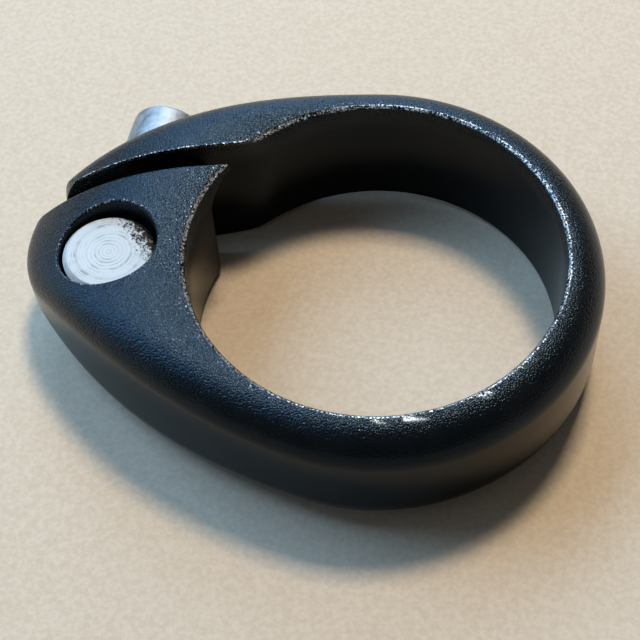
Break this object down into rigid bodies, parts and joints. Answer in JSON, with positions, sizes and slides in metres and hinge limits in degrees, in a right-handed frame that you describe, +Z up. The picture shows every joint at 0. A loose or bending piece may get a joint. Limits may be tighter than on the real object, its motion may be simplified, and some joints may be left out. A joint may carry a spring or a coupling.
{
  "type": "seatpost clamp",
  "caption": "Black one-piece bicycle seatpost clamp collar with a teardrop nose, a skewed slit, a steel barrel nut and a socket-head cross bolt.",
  "frame": {"origin": "middle of the bore, on its axis, halfway up the collar", "axes": "+Z up along the bore, the nose with the slit along -X, the bolt along Y with its head at +Y"},
  "size_m": [0.0503, 0.0384, 0.0128],
  "materials": {
    "black_coat": "black textured satin coat on aluminium, worn to bare metal along the bore's rim",
    "nut_steel": "bright turned steel",
    "bolt_steel": "zinc-bright satin steel"
  },
  "bodies": {
    "collar": {"collar": "black_coat", "barrel_nut": "nut_steel"},
    "washer": {"washer": "bolt_steel"},
    "bolt": {"bolt": "bolt_steel"}
  },
  "joints": [
    {"name": "bolt_travel", "type": "slide", "parent": "collar", "child": "washer", "axis": [0, 1, 0], "range_m": [-0.00136, 0.0056]},
    {"name": "bolt_turn", "type": "hinge", "parent": "washer", "child": "bolt", "pos_m": [-0.0224, 0.01081, 0], "axis": [0, 1, 0], "range_deg": [-702, 2884]}
  ],
  "couplings": [
    {"joint": "bolt_turn", "follows": "bolt_travel", "rad_per_m": 8976}
  ]
}
